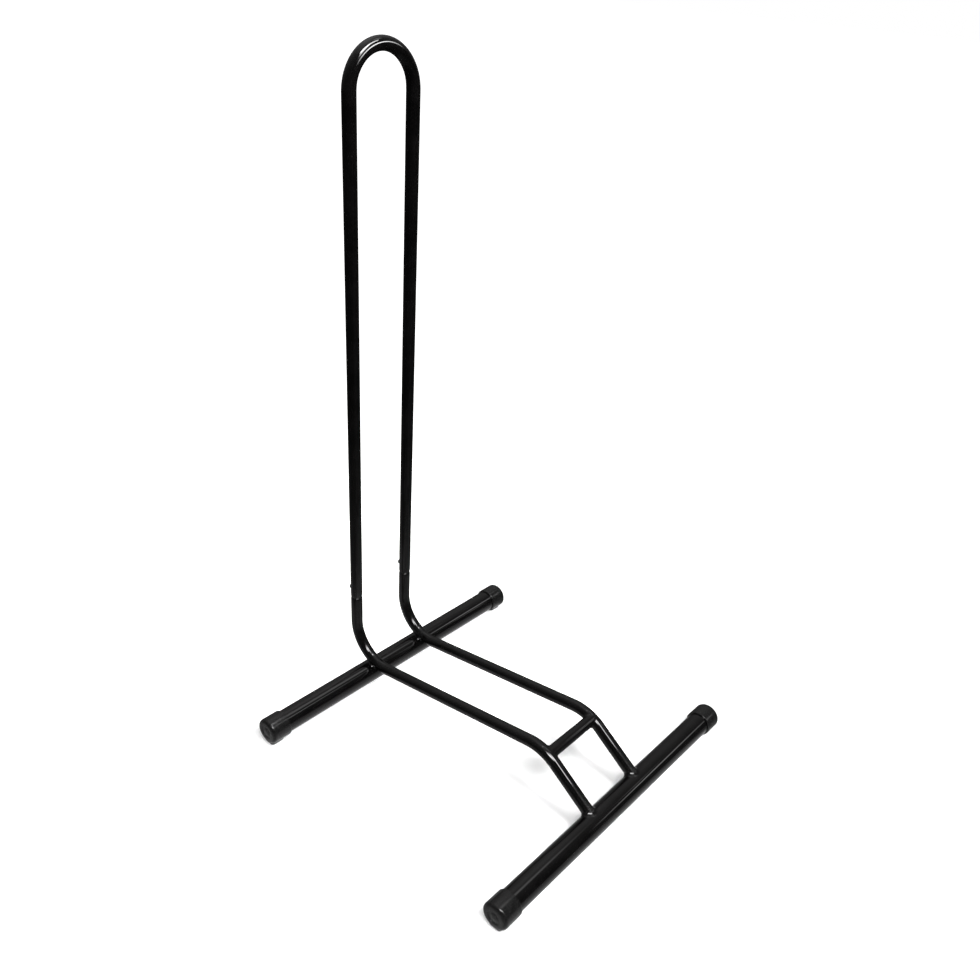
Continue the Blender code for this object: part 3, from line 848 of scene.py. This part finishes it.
def cap_pad(name, side, y):
    """The cap's flat sole, hollowed for the tube."""
    work = bmesh.new()
    bmesh.ops.create_cube(work, size=1.0)
    centre = Vector((side * (CAP_END - PAD_INSET - PAD_LENGTH / 2), y, PAD_ROOT / 2))
    size = (PAD_LENGTH, 2.0 * PAD_HALF_WIDTH, PAD_ROOT, 1.0)
    work.transform(Matrix.Translation(centre) @ Matrix.Diagonal(size))
    upright = [edge for edge in work.edges if abs(edge.verts[0].co.z - edge.verts[1].co.z) > PAD_SOFT]
    bmesh.ops.bevel(work, geom=upright, offset=PAD_CORNER, segments=6, profile=0.5, affect="EDGES")
    low = [edge for edge in work.edges if max(vert.co.z for vert in edge.verts) < PAD_SOFT]
    bmesh.ops.bevel(work, geom=low, offset=PAD_SOFT, segments=3, profile=0.5, affect="EDGES")
    mesh = bpy.data.meshes.new(name)
    work.to_mesh(mesh)
    work.free()
    pad = bpy.data.objects.new(name, mesh)
    bpy.context.scene.collection.objects.link(pad)
    core = [(0.0, -CAP_WALL), (CAP_BORE_R, -CAP_WALL), (CAP_BORE_R, -CAP_LENGTH), (0.0, -CAP_LENGTH)]
    boolean(pad, on_foot_axis(name + "_core", core, side, y), "DIFFERENCE")
    return pad


def cap(name, side, y):
    """A push-on end cap with a rounded rim, a ring groove round a low dome, and a flat sole."""
    soft = CAP_SOFT
    profile = [(0.0, 0.0)]
    for share in shares(4)[1:]:
        profile.append((share * (CAP_RING_IN - soft), -CAP_DOME * share ** 2))
    profile += arc(CAP_RING_IN - soft, -CAP_DOME - soft, soft, 15.0, 85.0, 4)
    profile += arc(CAP_RING_IN + soft, -CAP_RING_DEPTH + soft, soft, -100.0, -180.0, 3)
    profile += arc(CAP_RING_OUT - soft, -CAP_RING_DEPTH + soft, soft, 180.0, 100.0, 3)
    profile += arc(CAP_RING_OUT + soft, -soft, soft, -80.0, 0.0, 4)
    profile += arc(CAP_R - CAP_EDGE, -CAP_EDGE, CAP_EDGE, 5.0, 90.0, 14)
    profile += arc(CAP_R - CAP_LIP, -CAP_LENGTH + CAP_LIP, CAP_LIP, 90.0, 170.0, 6)
    profile += [(CAP_BORE_R + CAP_MOUTH, -CAP_LENGTH), (CAP_BORE_R, -CAP_LENGTH + CAP_MOUTH)]
    profile += [(CAP_BORE_R, -CAP_WALL), (0.0, -CAP_WALL)]
    piece = on_foot_axis(name, profile, side, y)
    boolean(piece, cap_pad(name + "_pad", side, y), "UNION")
    return piece


def button(name, side):
    """A snap button with a crowned head and an inner flange."""
    profile = [(0.0, BUTTON_TIP)]
    for share in shares(12)[1:]:
        angle = 0.5 * math.pi * share
        profile.append((BUTTON_R * math.sin(angle), BUTTON_TIP - BUTTON_CROWN * (1.0 - math.cos(angle))))
    flange = BUTTON_FOOT + FLANGE_THICKNESS
    profile += [(BUTTON_R, flange), (FLANGE_R, flange), (FLANGE_R, BUTTON_FOOT), (0.0, BUTTON_FOOT)]
    return on_button_axis(name, profile, side)


def round_off(points, rounds):
    """A polyline with its corners cut again and again, and its ends kept."""
    for _ in range(rounds):
        cut = [points[0]]
        for first, second in zip(points, points[1:]):
            cut.append(first.lerp(second, 0.25))
            cut.append(first.lerp(second, 0.75))
        points = cut + [points[-1]]
    return points


def strip_section(half_width, half_depth, soft):
    """A rectangle with rounded corners, as (wide, deep) pairs."""
    section = []
    for corner, (across, through) in enumerate(((1, 1), (-1, 1), (-1, -1), (1, -1))):
        for share in shares(3):
            angle = 0.5 * math.pi * (corner + share)
            wide = across * (half_width - soft) + soft * math.cos(angle)
            deep = through * (half_depth - soft) + soft * math.sin(angle)
            section.append((wide, deep))
    return section


def spring(name, side):
    """The folded strip spring behind a button."""
    back = SPRING_HIGH.y - STRIP_THICKNESS / 2
    front = SPRING_LOW.y + STRIP_THICKNESS / 2
    low = SPRING_LOW.z + STRIP_THICKNESS / 2 + FOLD_R
    middle = 0.5 * (back + front)
    line = [(back, BUTTON_Z + STRIP_TOPS[0]), (back, BUTTON_Z + STRIP_KNEES[0])]
    for share in shares(8):
        angle = math.pi * share
        line.append((middle + FOLD_R * math.cos(angle), low - FOLD_R * math.sin(angle)))
    line += [(front, BUTTON_Z + STRIP_KNEES[1]), (front, BUTTON_Z + STRIP_TOPS[1])]
    points = round_off([Vector((side * LEG_X, y, z)) for y, z in line], 2)
    section = strip_section(STRIP_WIDTH / 2, STRIP_THICKNESS / 2, STRIP_SOFT)
    verts = []
    faces = []
    for point, along in zip(points, tangents(points)):
        normal = along.cross(ACROSS).normalized()
        verts += [point + wide * ACROSS + deep * normal for wide, deep in section]
    sides = len(section)
    for i in range(len(points) - 1):
        bridge(faces, i * sides, (i + 1) * sides, sides)
    faces.append(tuple(range(sides)))
    faces.append(tuple(range(len(verts) - sides, len(verts))))
    return make_object(name, verts, faces)


# All pieces

for side, hand in ((-1, "left"), (1, "right")):
    dress(rail(hand + "_rail_tube", side), "base", hand + "_rail", PAINT)
    dress(foot_weld(hand + "_front_fillet", side), "base", hand + "_front_weld", PAINT)
    dress(cross_weld(hand + "_cross_fillet", side), "base", hand + "_cross_weld", PAINT)
    dress(saddle_weld(hand + "_rear_fillet", side), "base", hand + "_rear_weld", PAINT)
    dress(cap(hand + "_rear_end_cap", side, REAR_Y), "base", f"rear_{hand}_cap", PLASTIC)
    dress(cap(hand + "_front_end_cap", side, FRONT_Y), "base", f"front_{hand}_cap", PLASTIC)
    snap = button(hand + "_snap_button", side)
    dress(snap, hand + "_button", hand + "_button", BUTTON_BLACK)
    strip = spring(hand + "_strip_spring", side)
    dress(strip, "base", hand + "_spring", STEEL)
    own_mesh(strip)
dress(hoop("wheel_hoop"), "hoop", "hoop", PAINT)
dress(foot_tube("rear_foot", REAR_Y), "base", "rear_foot_tube", PAINT)
dress(foot_tube("front_foot", FRONT_Y), "base", "front_foot_tube", PAINT)
dress(cross_tube("cross_bar"), "base", "front_cross_tube", PAINT)

# Camera, as solved from the photograph: its place, its turns in radians, and its frame in pixels

CAMERA_FROM_REAR_FOOT = Vector((-737.2843, -773.2013, 876.7567)) * MM
YAW = -0.9084
PITCH = -0.5705
ROLL = 0.0916
FOCAL_PIXELS = 917.7368
CENTRE_PIXEL = (509.4140, 553.0229)
IMAGE_SIZE = 980.0


def add_camera():
    """The photograph's camera."""
    forward = Vector((-math.sin(YAW) * math.cos(PITCH), math.cos(YAW) * math.cos(PITCH), math.sin(PITCH)))
    level = Vector((math.cos(YAW), math.sin(YAW), 0.0))
    above = level.cross(forward)
    right = math.cos(ROLL) * level + math.sin(ROLL) * above
    up = -math.sin(ROLL) * level + math.cos(ROLL) * above
    lens = bpy.data.cameras.new("camera")
    lens.sensor_width = 36.0
    lens.lens = lens.sensor_width * FOCAL_PIXELS / IMAGE_SIZE
    lens.shift_x = (IMAGE_SIZE / 2 - CENTRE_PIXEL[0]) / IMAGE_SIZE
    lens.shift_y = (CENTRE_PIXEL[1] - IMAGE_SIZE / 2) / IMAGE_SIZE
    camera = bpy.data.objects.new("camera", lens)
    turn = Matrix((right, up, -forward)).transposed().to_4x4()
    camera.matrix_world = Matrix.Translation(CAMERA_FROM_REAR_FOOT + REAR_AXIS) @ turn
    bpy.context.scene.collection.objects.link(camera)
    bpy.context.scene.camera = camera


# Floor and light

FLOOR_SIZE = 30.0
FLOOR_WHITE = 0.82

# The floor's lift to white: none in the front drops' shade, less past the feet's ends, full further out
SHADED_SPOT = (0.0, -140.0 * MM, 0.0)
SHADE_EDGE = (75.0 * MM, 140.0 * MM)
FLOOR_LIFT = 0.68
ENDS_EDGE = (195.0 * MM, 225.0 * MM)
ENDS_LIFT = 0.32
WHITE_EDGE = (340.0 * MM, 620.0 * MM)

# The floor's painted glow in reflections: (metres from the paint, level) stops, and the share left outside
# the caps
FLOOR_GLOW_FADE = (
    (0.0, 1.0), (0.015, 0.9), (0.04, 0.58), (0.1, 0.4),
    (0.2, 0.28), (0.33, 0.2), (0.6, 0.12), (1.0, 0.05),
)
# Past the caps' ends the glow is dimmed to a share of itself, a painted shade of the caps in reflections
CAPS_SHADE_EDGE = (222.0 * MM, 238.0 * MM)
CAPS_SHADE_SHARE = 0.45

# The studio: its plain light, then the backdrop in reflections, as (cosine, level) stops round its middle
AMBIENT = 0.3
BACKDROP = (30.0, 58.0)
BACKDROP_GLOW = (
    (0.0, 0.05), (0.35, 0.09), (0.59, 0.14), (0.76, 0.21),
    (0.89, 0.31), (0.94, 0.4), (0.975, 0.55), (1.0, 0.75),
)

# Glows in reflections: azimuth, elevation, the cosines where each starts and is full, and its strength
SIDE_GLOW = (104.0, 63.0, 0.982, 0.9998, 1.3)
CEILING_GLOW = (0.0, 90.0, 0.9, 0.98, 0.3)
FRONT_GLOW = (175.0, 47.0, 0.93, 0.98, 0.5)


def compass(azimuth, elevation):
    """A direction from degrees round from +Y towards +X, and degrees up."""
    turn = math.radians(azimuth)
    rise = math.radians(elevation)
    return Vector((math.sin(turn) * math.cos(rise), math.cos(turn) * math.cos(rise), math.sin(rise)))


def softbox(name, azimuth, elevation, away, target, size, radiance, spread=180.0, roll=0.0, mirrored=True):
    """A rectangular studio lamp that faces a target from a direction, some metres away. Its energy follows
    from its size and radiance, whatever its spread. One that isn't mirrored stays out of reflections."""
    lamp = bpy.data.lights.new(name, "AREA")
    lamp.shape = "RECTANGLE"
    lamp.size, lamp.size_y = size
    lamp.spread = math.radians(spread)
    half = 0.5 * lamp.spread
    focus = 1.0 - half / math.tan(half)
    lamp.energy = radiance * math.pi * size[0] * size[1] * focus
    lamp_object = bpy.data.objects.new(name, lamp)
    towards = compass(azimuth, elevation)
    lamp_object.location = Vector(target) + away * towards
    lamp_object.rotation_mode = "QUATERNION"
    facing = towards.to_track_quat("Z", "Y")
    lamp_object.rotation_quaternion = facing @ Quaternion((0.0, 0.0, 1.0), math.radians(roll))
    lamp_object.visible_camera = False
    lamp_object.visible_glossy = mirrored
    bpy.context.scene.collection.objects.link(lamp_object)


def floor_finish():
    """A white floor, lifted towards white for the camera; reflections see a painted glow that fades with
    distance.
    """
    made, tree, shader, place = start_material("floor_white")
    tree.nodes.remove(shader)
    path = put(tree, "LightPath")
    seen = calc(tree, "MAXIMUM", path.outputs["Is Camera Ray"], path.outputs["Is Transmission Ray"])
    mirrored = path.outputs["Is Glossy Ray"]
    far = put(tree, "VectorMath", {0: place}, operation="LENGTH").outputs["Value"]
    beside = put(tree, "VectorMath", {0: place, 1: SHADED_SPOT}, operation="DISTANCE").outputs["Value"]
    sideways = calc(tree, "ABSOLUTE", put(tree, "SeparateXYZ", {0: place}).outputs["X"])

    by_shade = span(tree, beside, *SHADE_EDGE, 0.0, FLOOR_LIFT)
    by_ends = span(tree, sideways, *ENDS_EDGE, FLOOR_LIFT, ENDS_LIFT)
    lift = calc(tree, "MINIMUM", by_shade, by_ends)
    lift = calc(tree, "MAXIMUM", lift, span(tree, far, *WHITE_EDGE))
    # In reflections the floor is only a painted glow that fades with the ray's length from the paint
    painted_glow = curve(tree, path.outputs["Ray Length"], FLOOR_GLOW_FADE)
    # Past the caps' ends the painted glow is dimmed, a painted shade of the caps
    painted_glow = times(tree, painted_glow, span(tree, sideways, *CAPS_SHADE_EDGE, 1.0, CAPS_SHADE_SHARE))

    diffuse = put(tree, "BsdfDiffuse", {"Color": blend_value(tree, mirrored, FLOOR_WHITE, 0.0)}).outputs[0]
    strength = blend_value(tree, mirrored, times(tree, seen, lift), painted_glow)
    glow = put(tree, "Emission", {"Strength": strength}).outputs[0]
    both = put(tree, "AddShader", {0: diffuse, 1: glow}).outputs[0]
    tree.links.new(both, tree.nodes["Material Output"].inputs["Surface"])
    return made


def add_floor():
    """A flat floor that reaches well past the camera's view."""
    grid = bmesh.new()
    bmesh.ops.create_grid(grid, x_segments=1, y_segments=1, size=FLOOR_SIZE)
    mesh = bpy.data.meshes.new("floor")
    grid.to_mesh(mesh)
    grid.free()
    mesh.materials.append(floor_finish())
    floor = bpy.data.objects.new("floor", mesh)
    bpy.context.scene.collection.objects.link(floor)


def towards_share(tree, place, azimuth, elevation):
    """How nearly a direction points towards a compass direction, as a cosine."""
    values = {0: place, 1: compass(azimuth, elevation)}
    return put(tree, "VectorMath", values, operation="DOT_PRODUCT").outputs["Value"]


def studio_world():
    """White for the camera; in reflections a dim studio with a lit backdrop behind the object."""
    world = bpy.data.worlds.new("studio")
    world.use_nodes = True
    tree = world.node_tree
    place = put(tree, "TexCoord").outputs["Generated"]
    path = put(tree, "LightPath")
    studio = curve(tree, towards_share(tree, place, *BACKDROP), BACKDROP_GLOW)
    for azimuth, elevation, start, full, strength in (SIDE_GLOW, CEILING_GLOW, FRONT_GLOW):
        near = towards_share(tree, place, azimuth, elevation)
        studio = calc(tree, "ADD", studio, span(tree, near, start, full, 0.0, strength))
    strength = blend_value(tree, path.outputs["Is Glossy Ray"], AMBIENT, studio)
    seen = calc(tree, "MAXIMUM", path.outputs["Is Camera Ray"], path.outputs["Is Transmission Ray"])
    background = tree.nodes["Background"]
    background.inputs["Color"].default_value = grey(1.0)
    tree.links.new(blend_value(tree, seen, strength, 1.0), background.inputs["Strength"])
    bpy.context.scene.world = world


def add_lamps():
    """Two plain lamps for the floor's shadows, then one for each highlight measured in the photograph."""
    middle = (0.0, 0.0, 200.0 * MM)
    arch_top = (0.0, LEG_Y, ARCH_Z + 0.9 * LEG_X)
    front_bends = (0.0, CROSS_Y, CROSS_Z)
    rear_bends = (0.0, REAR_Y, FOOT_Z + 2.0 * FOOT_R)
    front_line = (80.0 * MM, FRONT_Y - FOOT_R, FOOT_Z + 10.0 * MM)
    rear_line = (140.0 * MM, REAR_Y - FOOT_R, FOOT_Z + 15.0 * MM)
    softbox("key_softbox", 178.0, 56.0, 2.4, middle, (1.0, 1.0), 13.0, mirrored=False)
    softbox("fill_softbox", 226.0, 55.0, 2.6, middle, (1.0, 0.8), 5.0, mirrored=False)
    softbox("arch_softbox", 168.0, 61.0, 0.6, arch_top, (0.48, 0.11), 30.0, spread=66.0, roll=-12.0)
    softbox("strip_softbox", 149.0, 21.0, 1.0, arch_top, (1.25, 0.16), 33.0, spread=60.0, roll=-7.0)
    softbox("bend_softbox", 228.0, 57.0, 1.2, front_bends, (0.5, 0.34), 25.0, spread=60.0)
    softbox("rear_softbox", 184.0, 58.0, 1.2, rear_bends, (0.26, 0.95), 28.0, spread=37.0)
    softbox("front_window", 133.0, 27.0, 1.6, front_line, (0.5, 0.16), 3.8, spread=16.0)
    softbox("rear_window", 131.0, 36.0, 1.6, rear_line, (0.6, 0.17), 3.4, spread=16.0)


add_camera()
add_floor()
studio_world()
add_lamps()
bpy.context.scene.view_settings.view_transform = "Standard"
